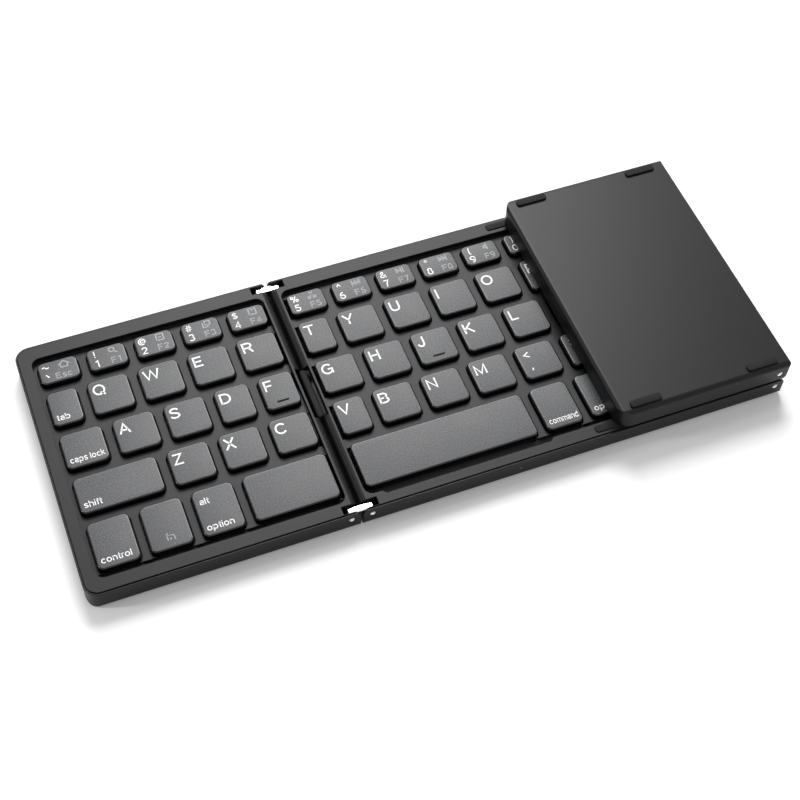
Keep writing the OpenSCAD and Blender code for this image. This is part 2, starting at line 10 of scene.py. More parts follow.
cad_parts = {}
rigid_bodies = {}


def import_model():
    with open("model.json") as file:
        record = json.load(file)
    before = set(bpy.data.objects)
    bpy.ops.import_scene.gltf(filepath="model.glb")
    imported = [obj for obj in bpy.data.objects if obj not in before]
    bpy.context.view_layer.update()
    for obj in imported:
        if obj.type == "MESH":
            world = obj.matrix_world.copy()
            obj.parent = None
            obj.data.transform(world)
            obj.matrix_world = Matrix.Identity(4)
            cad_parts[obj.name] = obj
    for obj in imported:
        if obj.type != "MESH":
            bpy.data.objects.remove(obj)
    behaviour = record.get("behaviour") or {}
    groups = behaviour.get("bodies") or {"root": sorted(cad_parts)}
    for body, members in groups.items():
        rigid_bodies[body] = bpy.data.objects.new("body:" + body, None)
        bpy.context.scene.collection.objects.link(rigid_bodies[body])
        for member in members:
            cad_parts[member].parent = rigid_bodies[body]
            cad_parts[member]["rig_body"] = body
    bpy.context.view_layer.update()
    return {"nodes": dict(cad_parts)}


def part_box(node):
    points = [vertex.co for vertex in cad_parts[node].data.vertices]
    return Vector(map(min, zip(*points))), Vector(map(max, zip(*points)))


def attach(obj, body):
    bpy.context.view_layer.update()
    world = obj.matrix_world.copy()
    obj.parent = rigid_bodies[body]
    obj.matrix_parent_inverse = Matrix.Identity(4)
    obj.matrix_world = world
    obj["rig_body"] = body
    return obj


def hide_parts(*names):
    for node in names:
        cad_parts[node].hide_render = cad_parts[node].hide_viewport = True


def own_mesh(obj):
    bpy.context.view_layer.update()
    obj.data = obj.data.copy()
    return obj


MM = 0.001
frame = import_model()

# ---- camera, at the photograph's place, given from the middle of the outline on the table ----

CAMERA_PLACE = Vector((-119.5, -271.0, 417.5)) * MM
CAMERA_AZIMUTH = math.radians(23.88)
CAMERA_DOWN = math.radians(55.39)
CAMERA_ROLL = math.radians(3.39)
CAMERA_LENS = 67.74
SENSOR_WIDTH = 36
CLIP_START = 0.01


def aim(azimuth, down):
    """Unit vector that points along azimuth, clockwise from +Y, and down from the horizon."""
    level = math.cos(down)
    return Vector((level * math.sin(azimuth), level * math.cos(azimuth), -math.sin(down)))


def make_camera():
    forward = aim(CAMERA_AZIMUTH, CAMERA_DOWN)
    level_right = forward.cross(Vector((0, 0, 1))).normalized()
    level_up = level_right.cross(forward)
    right = math.cos(CAMERA_ROLL) * level_right + math.sin(CAMERA_ROLL) * level_up
    up = right.cross(forward)
    data = bpy.data.cameras.new("photo_camera")
    data.lens = CAMERA_LENS
    data.sensor_width = SENSOR_WIDTH
    data.clip_start = CLIP_START
    camera = bpy.data.objects.new("photo_camera", data)
    turn = Matrix((right, up, -forward)).transposed()
    camera.matrix_world = Matrix.Translation(CAMERA_PLACE) @ turn.to_4x4()
    bpy.context.scene.collection.objects.link(camera)
    bpy.context.scene.camera = camera


make_camera()

# ---- materials ----

# Places of the sockets on a Mix node that blends two colours.
MIX_FACTOR, MIX_A, MIX_B, MIX_COLOUR = 0, 6, 7, 2
GRAIN_DETAIL = 2.0
CLOUD_DETAIL = 3.0
# Parts of the noise's range that are spread over the whole of a colour or of a roughness.
GRAIN_LOW, GRAIN_HIGH = 0.35, 0.65
CLOUD_LOW, CLOUD_HIGH = 0.3, 0.7
EASE_SAMPLES = 6


def linear(hex_colour):
    """An sRGB hex value as linear RGBA."""
    parts = [int(hex_colour[i : i + 2], 16) / 255 for i in (1, 3, 5)]
    return [c / 12.92 if c <= 0.04045 else ((c + 0.055) / 1.055) ** 2.4 for c in parts] + [1]


def add(tree, kind, inputs=None, **settings):
    """Adds a node with its settings; an input is a value or another node's output."""
    made = tree.nodes.new(kind)
    for key, value in settings.items():
        setattr(made, key, value)
    for key, value in (inputs or {}).items():
        if isinstance(value, bpy.types.NodeSocket):
            tree.links.new(value, made.inputs[key])
        else:
            made.inputs[key].default_value = value
    return made


def new_material(name):
    material = bpy.data.materials.new(name)
    material.use_nodes = True
    return material, material.node_tree, material.node_tree.nodes["Principled BSDF"]


def surface(name, dark, light, rough, grain_mm, depth_mm, cloud_mm=9.0, spread=0.04, rounding_mm=0.0,
            **sockets):
    """A moulded, coated or rolled surface. Its grain, grain_mm across and depth_mm deep, runs from
    a dark to a light colour, and its roughness drifts by spread in clouds cloud_mm across, as
    handling and moulding leave it. rounding_mm eases the edges that the tool left sharp."""
    material, tree, shader = new_material(name)
    place = add(tree, "ShaderNodeTexCoord").outputs["Object"]
    grain = add(tree, "ShaderNodeTexNoise",
                {"Vector": place, "Scale": 1 / (grain_mm * MM), "Detail": GRAIN_DETAIL}).outputs["Fac"]
    cloud = add(tree, "ShaderNodeTexNoise",
                {"Vector": place, "Scale": 1 / (cloud_mm * MM), "Detail": CLOUD_DETAIL}).outputs["Fac"]
    contrast = add(tree, "ShaderNodeMapRange",
                   {"Value": grain, "From Min": GRAIN_LOW, "From Max": GRAIN_HIGH})
    colour = add(tree, "ShaderNodeMix", {MIX_FACTOR: contrast.outputs["Result"], MIX_A: linear(dark),
                                         MIX_B: linear(light)}, data_type="RGBA")
    tree.links.new(colour.outputs[MIX_COLOUR], shader.inputs["Base Color"])
    drift = add(tree, "ShaderNodeMapRange", {"Value": cloud, "From Min": CLOUD_LOW, "From Max": CLOUD_HIGH,
                                             "To Min": rough - spread, "To Max": rough + spread})
    tree.links.new(drift.outputs["Result"], shader.inputs["Roughness"])
    height = {"Height": grain, "Strength": 1.0, "Distance": depth_mm * MM}
    if rounding_mm:
        eased = add(tree, "ShaderNodeBevel", {"Radius": rounding_mm * MM}, samples=EASE_SAMPLES)
        height["Normal"] = eased.outputs["Normal"]
    bump = add(tree, "ShaderNodeBump", height)
    tree.links.new(bump.outputs["Normal"], shader.inputs["Normal"])
    for socket, value in sockets.items():
        shader.inputs[socket.replace("_", " ")].default_value = value
    return material


# ABS trays and lids, spark-textured in the mould: a dull dark satin that lightens where it faces
# the light. The real grain is about 0.1 mm and is drawn at 0.3 mm, so that it just shows.
TRAY_ABS = surface("moulded_abs_tray", "#0a0a0b", "#0f0f10", 0.36, 0.3, 0.004, spread=0.006,
                   rounding_mm=0.35, Specular_IOR_Level=0.19)
# The frames have a slightly coarser spark texture, which looks duller.
FRAME_ABS = surface("moulded_abs_frame", "#0e0e0f", "#141415", 0.44, 0.3, 0.006, spread=0.008,
                    rounding_mm=0.3, Specular_IOR_Level=0.22)
# Soft-touch lacquer sprayed on the key tops: matt, with a fine sparkle of grit. The real grit is
# about 0.1 mm and is drawn at 0.45 mm, so that it shows.
KEY_LACQUER = surface("lacquered_key_top", "#1c1c1e", "#4b4c4e", 0.5, 0.45, 0.025, spread=0.01)
# The caps under the lacquer are bare polished ABS: black and glossy at their sides.
KEY_SIDE = surface("polished_abs_key_side", "#040405", "#070708", 0.16, 0.6, 0.0005, Specular_IOR_Level=0.5)
# The homing bars are bare ABS too, dulled by the fingers.
WORN_ABS = surface("worn_abs_bar", "#020203", "#050506", 0.6, 0.3, 0.002, Specular_IOR_Level=0.1)
# Silicone rubber feet, pads and cable sleeves, moulded: black and dull, with a trace of dust.
RUBBER = surface("moulded_silicone_rubber", "#0b0b0c", "#141415", 0.7, 0.5, 0.01, rounding_mm=0.1,
                 Specular_IOR_Level=0.2)
# Nickel-plated steel links, tumbled bright, with soft scratches.
LINK_STEEL = surface("plated_steel_links", "#d9dad8", "#eeeeec", 0.16, 0.7, 0.002, Metallic=1.0)
# Their flanks are the sheared edge of the strip, rough, and painted darker than the bright tops: painted
# shade.
PAINTED_SHADE_STEEL = surface("painted_shade_steel_flanks", "#2c2c2c", "#464646", 0.5, 0.4, 0.01, Metallic=1.0)
# Turned steel pins, bright, with the fine rings of the lathe worn away.
PIN_STEEL = surface("turned_steel_pins", "#d0d1cf", "#e2e3e1", 0.22, 0.25, 0.003, Metallic=1.0)
# Screws with a blackened finish: dark grey, with a dull shine.
SCREW_STEEL = surface("blackened_steel_screws", "#3a3b3c", "#4a4b4c", 0.35, 0.2, 0.004, Metallic=1.0)
# Stamped stainless steel socket, with the faint grain of the strip.
SOCKET_STEEL = surface("stamped_stainless_socket", "#a5a6a6", "#bcbdbd", 0.28, 0.3, 0.002, Metallic=1.0)
# Moulded glass-filled nylon: black and matt.
SOCKET_PLASTIC = surface("moulded_nylon_tongue", "#101112", "#17181a", 0.5, 0.2, 0.002)
# Gold flash over nickel, plated: a warm, even shine.
GOLD_CONTACT = surface("gold_flash_contacts", "#d6a44b", "#e6bb66", 0.22, 0.2, 0.001, Metallic=1.0)
# Black polyester sheet with its domes, under the keys.
KEY_SHEET = surface("black_polyester_sheet", "#2a2a2c", "#343436", 0.55, 0.5, 0.004)
# Glass-filled board under green solder mask, with the weave of its cloth at 0.45 mm.
SOLDER_MASK = surface("green_solder_mask", "#0d3423", "#14482f", 0.35, 0.45, 0.01)
# Aluminium-laminated pouch, slightly creased over 6 mm.
POUCH_FOIL = surface("aluminium_pouch_foil", "#a9acb0", "#c3c6ca", 0.32, 6.0, 0.12, Metallic=1.0)
# Matt touch surface: etched glass over black ink.
TOUCH_GLASS = surface("etched_touch_glass", "#0b0b0c", "#0f0f10", 0.34, 0.25, 0.001, spread=0.004,
                      rounding_mm=0.2, Specular_IOR_Level=0.25)
# Smoked polycarbonate rod that leads the light out: almost black while it is unlit, as in the photo.
LIGHT_GUIDE = surface("smoked_polycarbonate_guide", "#2c2e2f", "#3a3c3d", 0.35, 0.3, 0.004)
# Pad-printed inks on the key tops: full white, and a thinner grey for the second functions.
WHITE_INK = surface("white_pad_print", "#e4e4e4", "#f2f2f2", 0.55, 0.4, 0.001)
GREY_INK = surface("grey_pad_print", "#8c8d8f", "#9b9c9e", 0.55, 0.4, 0.001)

# ---- mesh helpers ----

WELD = 0.002 * MM
FLAT = math.radians(0.5)
SHARP = math.radians(32)
SMALLEST_TURN = 0.05 * MM


def body_of(node):
    return frame["nodes"][node]["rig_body"]


def piece_from(shape, name, body, materials, nodes=()):
    """Makes a riding piece of a bmesh, smooth but for its sharp edges."""
    bmesh.ops.recalc_face_normals(shape, faces=shape.faces)
    mesh = bpy.data.meshes.new(name)
    shape.to_mesh(mesh)
    shape.free()
    mesh.shade_smooth()
    mesh.set_sharp_from_angle(angle=SHARP)
    for material in materials:
        mesh.materials.append(material)
    piece = bpy.data.objects.new(name, mesh)
    bpy.context.scene.collection.objects.link(piece)
    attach(piece, body)
    if nodes:
        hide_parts(*nodes)
    return piece


def welded(node):
    """The mesh of a CAD node with its split corners joined and its flat faces whole."""
    shape = bmesh.new()
    shape.from_mesh(frame["nodes"][node].data)
    bmesh.ops.remove_doubles(shape, verts=shape.verts, dist=WELD)
    bmesh.ops.dissolve_limit(shape, angle_limit=FLAT, verts=shape.verts, edges=shape.edges)
    return shape


def solids(node):
    """The lowest and highest corner of each separate solid of a CAD node, back row first, then
    from left to right."""
    shape = welded(node)
    waiting = set(shape.verts)
    boxes = []
    while waiting:
        reached = [waiting.pop()]
        corners = []
        while reached:
            vert = reached.pop()
            corners.append(vert.co.copy())
            near = {edge.other_vert(vert) for edge in vert.link_edges} & waiting
            waiting -= near
            reached += near
        low = Vector([min(c[i] for c in corners) for i in range(3)])
        high = Vector([max(c[i] for c in corners) for i in range(3)])
        boxes.append((low, high))
    shape.free()
    return sorted(boxes, key=lambda b: (-round(b[1].y / MM), b[0].x))


def softened(node, name, width, segments, material, flank=None):
    """A copy of a CAD node with its sharp edges rounded, which stands in for it. Faces that look
    along Y have the flank's material, where one is given."""
    shape = welded(node)
    edges = [e for e in shape.edges if len(e.link_faces) == 2 and e.calc_face_angle() > SHARP]
    bmesh.ops.bevel(shape, geom=edges, offset=width, segments=segments, profile=0.5, affect="EDGES",
                    clamp_overlap=True)
    if not flank:
        return piece_from(shape, name, body_of(node), [material], [node])
    for face in shape.faces:
        # Faces that look along Y take the flank's material; on the links that is a darker steel, painted
        # shade.
        face.normal_update()
        face.material_index = 1 if abs(face.normal.y) > math.cos(SHARP) else 0
    return piece_from(shape, name, body_of(node), [material, flank], [node])


def ring_outline(low, high, radius, inset, steps):
    """Points of a rounded rectangle drawn in by inset, counter-clockwise."""
    turn = max(radius - inset, SMALLEST_TURN)
    left, right = low.x + inset + turn, high.x - inset - turn
    front, back = low.y + inset + turn, high.y - inset - turn
    centres = [(right, back, 0), (left, back, 90), (left, front, 180), (right, front, 270)]
    points = []
    for x, y, start in centres:
        for step in range(steps + 1):
            angle = math.radians(start + 90 * step / steps)
            points.append((x + turn * math.cos(angle), y + turn * math.sin(angle)))
    return points


def skin(shape, rings, loop=False):
    """Joins rings of points into a closed skin and gives its faces. It has a flat face at either
    end, or runs round in a loop from its last ring to its first."""
    rows = [[shape.verts.new(point) for point in ring] for ring in rings]
    if loop:
        rows.append(rows[0])
    count = len(rows[0])
    faces = []
    for lower, upper in zip(rows, rows[1:]):
        for i in range(count):
            j = (i + 1) % count
            faces.append(shape.faces.new((lower[i], lower[j], upper[j], upper[i])))
    if not loop:
        faces.append(shape.faces.new(rows[-1]))
        faces.append(shape.faces.new(rows[0][::-1]))
    return faces


def rounded_bar(low, high, radius, edge, steps=6):
    """A closed bar that is round at its upright corners and eased along its top and bottom."""
    shape = bmesh.new()
    rings = []
    for z, way in ((low.z, -1), (high.z, 1)):
        angles = range(steps, -1, -1) if way < 0 else range(steps + 1)
        for step in angles:
            angle = math.radians(90 * step / steps)
            inset = edge * (1 - math.cos(angle))
            height = z - way * edge * (1 - math.sin(angle))
            rings.append([(x, y, height) for x, y in ring_outline(low, high, radius, inset, steps)])
    skin(shape, rings)
    return shape


def turned(shape, profile, start, way, steps=32):
    """A turned solid about a line along Y: profile holds [radius, distance from start]."""
    rings = []
    for radius, reach in profile:
        ring = []
        for step in range(steps):
            angle = 2 * math.pi * step / steps
            ring.append((start.x + radius * math.cos(angle), start.y + way * reach,
                         start.z + radius * math.sin(angle)))
        rings.append(ring)
    skin(shape, rings)


# ---- key caps ----

KEY_RADIUS = 2.0 * MM
KEY_EDGE = 0.5 * MM
# Faces that lie within this depth of a key's top carry the lacquer.
LACQUER_DEPTH = 0.01 * MM
EDGE_STEPS = 5
CORNER_STEPS = 7


def make_cap(name, low, high, node):
    """A key cap: glossy sides, an eased rim and a flat lacquered top."""
    shape = bmesh.new()
    rings = [[(x, y, low.z) for x, y in ring_outline(low, high, KEY_RADIUS, 0, CORNER_STEPS)]]
    for step in range(EDGE_STEPS + 1):
        angle = math.radians(90 * step / EDGE_STEPS)
        inset = KEY_EDGE * (1 - math.cos(angle))
        height = high.z - KEY_EDGE * (1 - math.sin(angle))
        rings.append([(x, y, height) for x, y in ring_outline(low, high, KEY_RADIUS, inset, CORNER_STEPS)])
    faces = skin(shape, rings)
    for face in faces:
        on_top = min(v.co.z for v in face.verts) > high.z - LACQUER_DEPTH
        face.material_index = 1 if on_top else 0
    return piece_from(shape, "cap_" + name, body_of(node), [KEY_SIDE, KEY_LACQUER], [node])


# ---- print on the keys ----

# Strokes of a plain grotesque, in tenths of a capital's height, all drawn with one pen. Each stroke
# is a row of points "x,y" and of arcs "x,y,across,up,start,end" about a centre, in degrees.
PEN = 1.45
# Gap after a letter, counted from the edge of its ink.
LETTER_GAP = 1.2
# Letters whose arm reaches out over the next one, and the smaller gap after them.
ARMED = "frt"
ARM_GAP = 0.3
SPACE = 3.2
ARC_STEP = 15.0
# Least cosine that a mitre is lengthened by, so that a sharp corner stays blunt.
SHARPEST = 0.6
# Points nearer than this are one.
SAME_POINT = 0.05
STROKES = {
    "A": [".7,0 4.6,9.2 8.5,0", "2,3.2 7.2,3.2"],
    "B": [".7,0 .7,9.3 4.4,9.3 4.4,7.2,2.5,2.1,90,-90 .7,5.1", "4.4,5.1 4.6,2.9,2.7,2.2,90,-90 .7,.7"],
    "C": ["4.8,5,4.1,4.4,38,322"],
    "D": [".7,0 .7,9.3 3.6,9.3 3.6,5,4.4,4.3,90,-90 .7,.7"],
    "E": ["7,9.3 .7,9.3 .7,.7 7.2,.7", ".7,5.1 6.6,5.1"],
    "F": ["6.7,9.3 .7,9.3 .7,0", ".7,4.9 6,4.9"],
    "G": ["4.8,5,4.1,4.4,42,320", "5.2,4.7 8.5,4.7 8.5,.3"],
    "H": [".7,0 .7,10", "7.5,0 7.5,10", ".7,5.2 7.5,5.2"],
    "I": [".7,0 .7,10"],
    "J": ["5.5,10 5.5,3.1 3.1,3.1,2.4,2.5,0,-180"],
    "K": [".7,0 .7,10", ".7,3.4 7.4,10", "3.2,5.7 8,0"],
    "L": [".7,10 .7,.7 6.6,.7"],
    "M": [".7,0 .7,9.2 4.9,.9 9.1,9.2 9.1,0"],
    "N": [".7,0 .7,9.2 7.5,.8 7.5,10"],
    "O": ["4.9,5,4.2,4.4,0,360"],
    "P": [".7,0 .7,9.3 4.4,9.3 4.4,6.7,2.7,2.6,90,-90 .7,4.1"],
    "Q": ["4.9,5,4.2,4.4,0,360", "5.6,2.6 9,-.2"],
    "R": [".7,0 .7,9.3 4.6,9.3 4.6,7,2.8,2.3,90,-90 .7,4.7", "4.8,4.7 7.7,0"],
    "S": ["4.1,7.25,3,2.1,12,180 1.5,6.2 2.6,5.6 5.6,4.7 6.9,4 4.1,2.8,3.3,2.15,0,-172"],
    "T": ["0,9.3 8.2,9.3", "4.1,0 4.1,9.3"],
    "U": [".7,10 .7,3.6 4.1,3.6,3.4,3,180,360 7.5,10"],
    "V": [".6,10 4.5,.9 8.4,10"],
    "W": [".6,10 3.5,.9 6.6,9.2 9.7,.9 12.6,10"],
    "X": [".7,0 8.1,10", ".7,10 8.1,0"],
    "Y": [".6,10 4.5,4.3 8.4,10", "4.5,4.6 4.5,0"],
    "Z": [".5,9.3 7.1,9.3 .8,.7 7.6,.7"],
    "a": ["3.1,5,2.3,1.65,165,0 5.4,0", "5.4,3.9 2.9,3.6 2.6,2.1,1.9,1.5,90,270 3.6,.6 5.4,2.2"],
    "b": [".7,0 .7,10", "3.6,3.6,2.7,3.05,0,360"],
    "c": ["3.5,3.65,2.8,3,45,315"],
    "d": ["6.2,0 6.2,10", "3.3,3.6,2.7,3.05,0,360"],
    "e": [".8,3.6 6.15,3.6 3.4,3.65,2.75,3,0,318"],
    "f": ["3.5,9.35 2.9,9.35 2.9,8,1.25,1.35,90,180 1.65,0", ".2,6.7 3.5,6.7"],
    "h": [".7,0 .7,10", "3.2,4.2,2.5,2.45,180,0 5.7,0"],
    "i": [".7,0 .7,7.2", ".7,8.6 .7,10"],
    "k": [".7,0 .7,10", ".7,2.9 5.2,7.2", "2.5,4.6 5.8,0"],
    "l": [".7,0 .7,10"],
    "m": [".7,0 .7,7.2", "2.9,4.6,2.2,2.05,180,0 5.1,0", "7.3,4.6,2.2,2.05,180,0 9.5,0"],
    "n": [".7,0 .7,7.2", "3.2,4.2,2.5,2.45,180,0 5.7,0"],
    "o": ["3.5,3.65,2.8,3,0,360"],
    "p": [".7,-2.7 .7,7.2", "3.6,3.65,2.7,3,0,360"],
    "r": [".7,0 .7,7.2", "3,4.4,2.3,2.2,180,80"],
    "s": ["3,5.3,2.1,1.4,15,180 1.5,4.4 4.5,3.1 3,2,2.3,1.4,15,-165"],
    "t": ["1.6,9.2 1.6,1.9 2.8,1.9,1.2,1.3,180,270 3.5,.6", ".1,6.7 3.5,6.7"],
    "0": ["3.5,5,2.8,4.3,0,360"],
    "1": ["1.1,7.6 3.9,9.4 3.9,0"],
    "2": ["3.5,6.8,2.7,2.5,170,-25 .9,.7 6.4,.7"],
    "3": ["3.4,7.2,2.4,2.1,160,-90", "3.4,2.9,2.8,2.2,90,-160"],
    "4": ["5,0 5,9.2 .7,2.8 6.8,2.8"],
    "5": ["6.2,9.3 1.6,9.3 1.1,4.9", "3.4,3.3,2.8,2.6,140,-155"],
    "6": ["3.5,3.2,2.8,2.5,0,360", "4.2,3.4,3.5,5.9,75,180"],
    "7": [".5,9.3 6.3,9.3 4.2,5.6 2.9,0"],
    "8": ["3.5,7.2,2.3,2.1,0,360", "3.5,2.9,2.8,2.2,0,360"],
    "9": ["3.5,6.8,2.8,2.5,0,360", "2.8,6.6,3.5,5.9,0,-105"],
    "!": [".7,10 .7,3", ".7,0 .7,1.5"],
    "@": ["5,4.6,4.3,4.8,-5,300", "4.8,4.6,1.8,2.1,0,360", "6.9,6.8 6.8,2.9 7.8,2.4 9.2,4.2"],
    "#": ["2.4,0 3.5,10", "5.1,0 6.2,10", ".4,3.3 7.6,3.3", ".8,6.6 8,6.6"],
    "$": ["3.6,10.8 3.6,-.8", "3.6,7.1,2.6,1.9,15,180 1.6,5.9 5.7,4.3 3.6,2.9,2.8,2,15,-165"],
    "%": ["2.2,7.6,1.5,1.8,0,360", "8.2,2.4,1.5,1.8,0,360", "7.6,10 2.8,0"],
    "^": [".6,5.6 3,9.6 5.4,5.6"],
    "&": ["7.8,.1 2.4,6.9 3.7,8,1.5,1.4,205,-30 1.9,4.6 3.4,2.6,2.7,2,135,335 7.4,4.8"],
    "*": ["2.5,10 2.5,5.6", ".6,8.9 4.4,6.7", ".6,6.7 4.4,8.9"],
    "(": ["4.2,4,3.4,7,125,235"],
    ")": ["-.8,4,3.4,7,55,-55"],
    "_": ["0,1.6 6,1.6"],
    "+": [".3,3.9 6.7,3.9", "3.5,.8 3.5,7"],
    "-": [".4,3.6 4.2,3.6"],
    "=": [".3,2.7 6.7,2.7", ".3,5.4 6.7,5.4"],
    "~": ["2.4,4.8,2,1.7,180,30 6.4,5.6,2,1.7,210,360"],
    "`": [".4,9 3.4,4.6"],
    "<": ["6.4,7 .8,3.9 6.4,.8"],
    ">": [".6,7 6.2,3.9 .6,.8"],
    ",": [".9,1.4 .9,0 .2,-1.8"],
    ".": [".7,0 .7,1.5"],
    "?": ["3.2,7.1,2.5,2.3,175,-45 3.2,4.3 3.2,2.9", "3.2,0 3.2,1.5"],
    "/": [".3,-.2 3.6,10.2"],
    "\\": [".3,10.2 3.6,-.2"],
    "|": [".7,-1 .7,10.5"],
    ":": [".7,0 .7,1.5", ".7,5.6 .7,7.1"],
    ";": [".9,5.6 .9,7.1", ".9,1.4 .9,0 .2,-1.8"],
    '"': [".7,10 .7,6.8", "3,10 3,6.8"],
    "'": [".7,10 .7,6.8"],
    "{": ["3.4,10.4 2.4,10.4 1.7,9.6 1.7,5.2 .6,4.4 1.7,3.6 1.7,-.8 2.4,-1.6 3.4,-1.6"],
    "}": [".6,10.4 1.6,10.4 2.3,9.6 2.3,5.2 3.4,4.4 2.3,3.6 2.3,-.8 1.6,-1.6 .6,-1.6"],
    "[": ["3,10.4 .7,10.4 .7,-1.6 3,-1.6"],
    "]": [".4,10.4 2.7,10.4 2.7,-1.6 .4,-1.6"],
    "home": ["0,4.4 6.5,9.4 13,4.4", "2.6,4.9 2.6,.7 10.4,.7 10.4,4.9"],
    "find": ["4,6.2,3.1,3.1,0,360", "6.3,3.9 9.6,.6"],
    "page": [".8,0 .8,9.3 9.2,9.3 9.2,.7 .8,.7", "3,5 7,5"],
    "copy": ["3.6,3.6 3.6,9.3 9.3,9.3 9.3,3.6 2.9,3.6", "3.6,6.4 .7,6.4 .7,.7 6.4,.7 6.4,3.6"],
    "paste": [".8,0 .8,9 9.2,9 9.2,.7 .8,.7", "3.2,9 5,6.4 6.8,9"],
    "cut": ["1.9,1.9,1.5,1.5,0,360", "8.1,1.9,1.5,1.5,0,360", "2.8,3 7,10", "7.2,3 3,10"],
    "back": [".5,.6 .5,9.4", "5.4,1.6 5.4,8.4 2,5 4.6,2.4 4.6,7", "10,1.6 10,8.4 6.6,5 9.2,2.4 9.2,7"],
    "play": [".7,1.6 .7,8.4 4.6,5 1.6,2.4 1.6,7", "6.7,.8 6.7,9.2", "9.3,.8 9.3,9.2"],
    "next": ["9.5,.6 9.5,9.4", "4.6,1.6 4.6,8.4 8,5 5.4,2.4 5.4,7", "0,1.6 0,8.4 3.4,5 .8,2.4 .8,7"],
    "quiet": [".7,3.4 .7,6.6 2.6,6.6 5,8.8 5,1.2 2.6,3.4 .7,3.4", "3.4,4 3.4,6"],
    "loud": [".7,3.4 .7,6.6 2.6,6.6 5,8.8 5,1.2 2.6,3.4 .7,3.4", "3.4,4 3.4,6", "5.4,5,2.6,3.2,45,-45"],
}

# Places of the two inks in a print's materials.
WHITE, GREY = 0, 1
# Each style: height of a capital, ink, x of the text, how it is set, the edge that its baseline is
# counted from, and that distance, all in millimetres on the key.
STYLES = {
    "letter": (4.2, WHITE, 1.5, "left", "back", -6.2),
    "word": (2.3, WHITE, 1.5, "left", "front", 2.0),
    "upper word": (2.3, WHITE, 1.9, "left", "back", -5.6),
    "digit": (2.9, WHITE, 2.7, "middle", "front", 1.15),
    "shifted": (2.6, WHITE, 2.7, "middle", "back", -3.75),
    "function": (2.4, GREY, 9.2, "middle", "front", 1.3),
    "icon": (2.9, GREY, 8.9, "middle", "back", -3.9),
    "escape": (2.35, GREY, 7.9, "middle", "front", 1.25),
    "faint word": (2.6, GREY, 6.9, "middle", "front", 2.9),
    "upper mark": (3.2, WHITE, 3.4, "middle", "back", -5.2),
    "lower mark": (3.2, WHITE, 3.4, "middle", "back", -9.9),
}
# Words that are set narrower than the rest, and their widths in millimetres.
NARROW = {"caps lock": 11.3, "command": 10.3}
# The ink stands this much above the key top and reaches down into it, so that no gap shows.
INK_RISE = 0.015 * MM
INK_THICK = 0.05 * MM

SHIFTED = {"1": "!", "2": "@", "3": "#", "4": "$", "5": "%", "6": "^", "7": "&", "8": "*", "9": "(", "0": ")",
           "minus": "_", "equals": "+"}
PLAIN = {"minus": "-", "equals": "="}
PAIRS = {"comma": "<,", "period": ">.", "slash": "?/", "semicolon": ":;", "quote": "\"'",
         "left_bracket": "{[", "right_bracket": "}]", "backslash": "|\\"}
WORDS = {"tab": "tab", "caps_lock": "caps lock", "left_shift": "shift", "right_shift": "shift",
         "control": "control", "alt": "option", "command": "command", "option": "option", "enter": "enter",
         "delete": "delete"}
KEY_NUMBER_ROW = ["1", "2", "3", "4", "5", "6", "7", "8", "9", "0", "minus", "equals"]
ICONS = {"esc": "home", "1": "find", "2": "page", "3": "copy", "4": "paste", "5": "cut", "6": "back",
         "7": "play", "8": "next", "9": "quiet", "0": "loud"}


def legend_of(key):
    """What is printed on a key, as (text, style)."""
    if key == "esc":
        return [("~", "shifted"), ("`", "digit"), ("Esc", "escape")]
    if key in SHIFTED:
        number = "F%d" % (KEY_NUMBER_ROW.index(key) + 1)
        return [(SHIFTED[key], "shifted"), (PLAIN.get(key, key), "digit"), (number, "function")]
    if key in PAIRS:
        return [(PAIRS[key][0], "upper mark"), (PAIRS[key][1], "lower mark")]
    if key == "alt":
        return [("alt", "upper word"), ("option", "word")]
    if key == "fn":
        return [("fn", "faint word")]
    if key in WORDS:
        return [(WORDS[key], "word")]
    if len(key) == 1:
        return [(key.upper(), "letter")]
    return []


def path_of(stroke):
    """The points of one stroke, with none twice in a row."""
    points = []
    for item in stroke.split():
        values = [float(value) for value in item.split(",")]
        if len(values) == 2:
            reached = [Vector(values)]
        else:
            x, y, across, up, start, end = values
            steps = max(2, round(abs(end - start) / ARC_STEP))
            angles = [math.radians(start + (end - start) * step / steps) for step in range(steps + 1)]
            reached = [Vector((x + across * math.cos(angle), y + up * math.sin(angle))) for angle in angles]
        points += [point for point in reached if not points or (point - points[-1]).length > SAME_POINT]
    return points


def draw(shape, points, place, ink):
    """Draws one stroke of ink, as a flat bar with mitred corners. place turns x, y, z into a corner."""
    loop = (points[0] - points[-1]).length < SAME_POINT
    if loop:
        points = points[:-1]
    rings = []
    for i, point in enumerate(points):
        before = points[i - 1] if i or loop else None
        after = points[(i + 1) % len(points)] if i + 1 < len(points) or loop else None
        onward = (after - point).normalized() if after else (point - before).normalized()
        arriving = (point - before).normalized() if before else onward
        way = (onward + arriving).normalized()
        side = Vector((-way.y, way.x)) * PEN / 2 / max(way.dot(onward), SHARPEST)
        left, right = point + side, point - side
        rings.append([place(left.x, left.y, 1), place(right.x, right.y, 1),
                      place(right.x, right.y, 0), place(left.x, left.y, 0)])
    for face in skin(shape, rings, loop):
        face.material_index = ink


